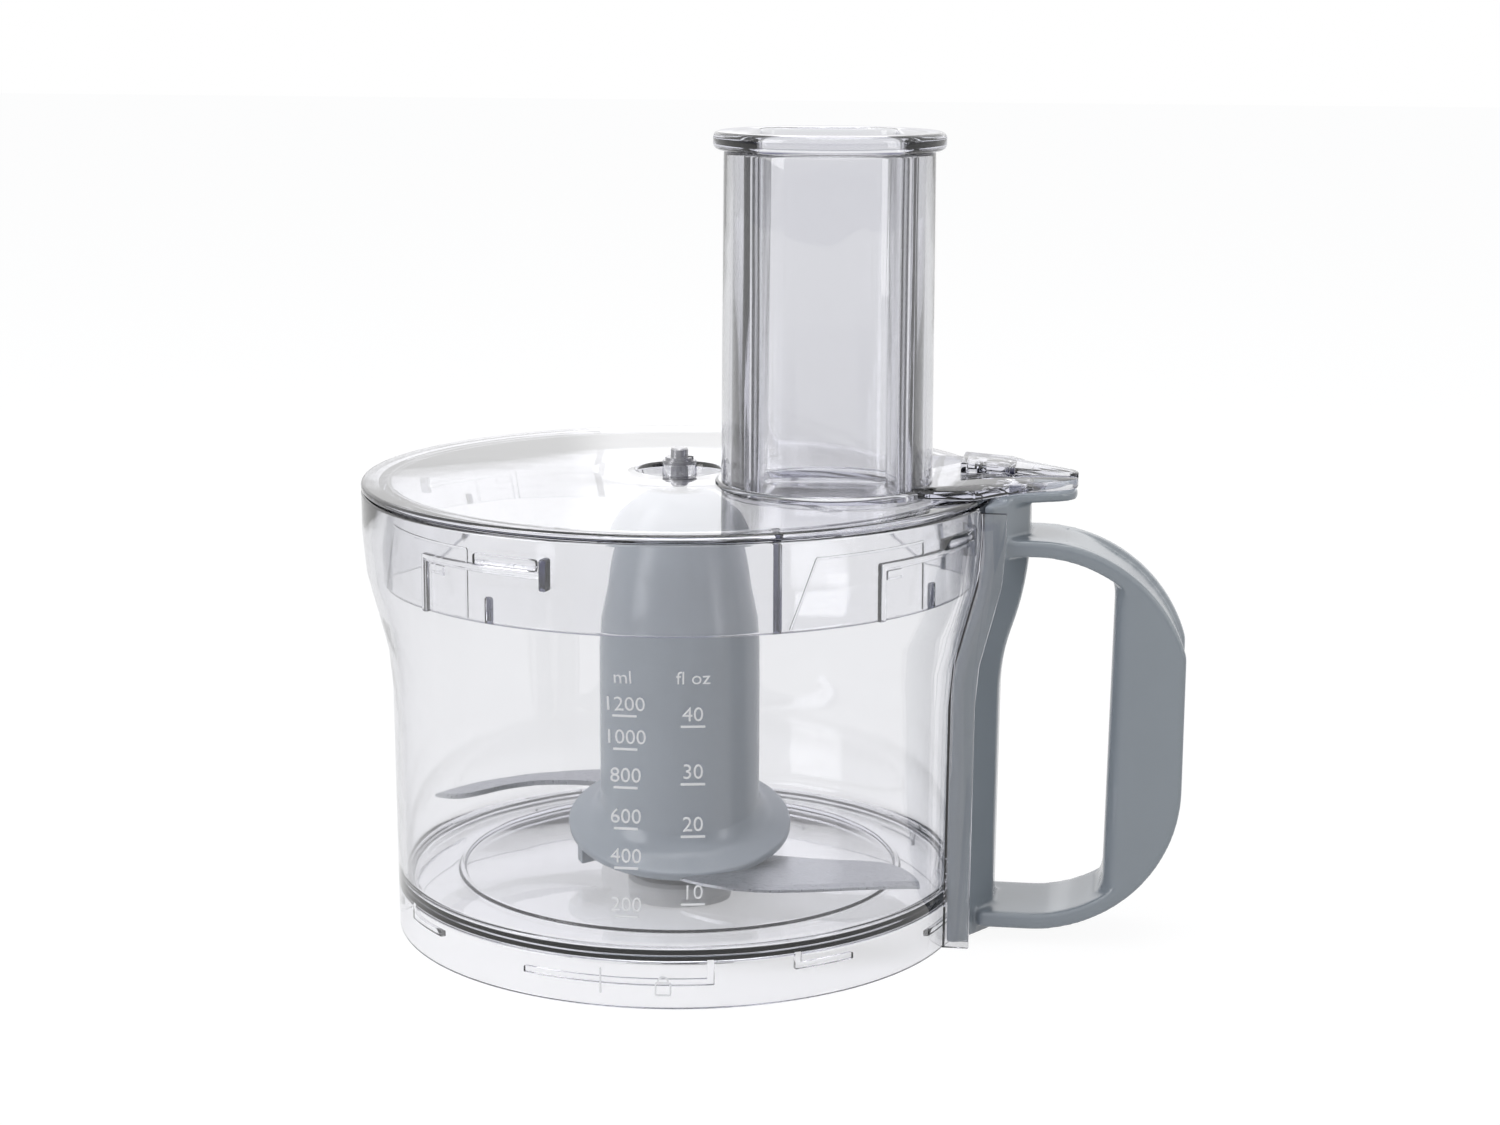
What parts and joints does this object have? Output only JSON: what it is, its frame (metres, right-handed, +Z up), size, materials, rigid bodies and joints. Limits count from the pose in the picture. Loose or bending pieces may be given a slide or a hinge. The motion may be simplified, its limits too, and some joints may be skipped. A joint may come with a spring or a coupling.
{
  "type": "food processor",
  "caption": "Clear food processor bowl with a strap handle, bayonet lid, feed tube with pusher, and a tall-hubbed knife on its own drive shaft.",
  "frame": {"origin": "on the bowl's axis, in the plane of the ring that the bowl stands on", "axes": "+Z up along the bowl's axis, +X out through the handle, +Y to the left of the handle seen from the bowl"},
  "size_m": [0.2332, 0.1792, 0.2268],
  "materials": {
    "clear_plastic": "clear, polished moulded",
    "grey_plastic": "satin moulded",
    "white_plastic": "natural moulded",
    "steel": "turned",
    "blade_steel": "ground and polished",
    "bronze": "sintered",
    "rubber": "moulded"
  },
  "bodies": {
    "bowl": {"bowl": "clear_plastic", "bearing_bush": "bronze", "shaft_seal": "rubber", "handle": "grey_plastic", "handle_screws": "steel", "channel_cap": "grey_plastic", "interlock_spring": "steel"},
    "knife": {"knife_hub": "grey_plastic", "lower_blade": "blade_steel", "upper_blade": "blade_steel", "hub_socket": "steel", "pin_bush": "white_plastic", "drive_shaft": "steel", "thrust_washer": "steel", "shaft_circlip": "steel", "drive_coupling": "white_plastic", "coupling_pin": "steel"},
    "lid_spindle": {"lid_pin": "steel", "pin_washer": "steel", "pin_clip": "steel"},
    "lid": {"lid": "clear_plastic", "feed_tube": "clear_plastic"},
    "pusher": {"pusher": "clear_plastic"},
    "interlock_rod": {"interlock_rod": "white_plastic"}
  },
  "joints": [
    {"name": "knife_spin", "type": "hinge", "parent": "bowl", "child": "knife", "pos_m": [0, 0, 0.05], "axis": [0, 0, 1], "continuous": true},
    {"name": "lid_lift", "type": "slide", "parent": "bowl", "child": "lid_spindle", "axis": [0, 0, 1], "range_m": [0, 0.12]},
    {"name": "lid_turn", "type": "hinge", "parent": "lid_spindle", "child": "lid", "pos_m": [0, 0, 0.13], "axis": [0, 0, 1], "range_deg": [0, 28]},
    {"name": "pusher_slide", "type": "slide", "parent": "lid", "child": "pusher", "axis": [0, 0, 1], "range_m": [0, 0.1]},
    {"name": "rod_slide", "type": "slide", "parent": "bowl", "child": "interlock_rod", "axis": [0, 0, 1], "range_m": [0, 0.0042], "deforming": ["interlock_spring"]}
  ],
  "couplings": [
    {"joint": "rod_slide", "follows": "lid_turn", "m_per_rad": 0.00859}
  ]
}
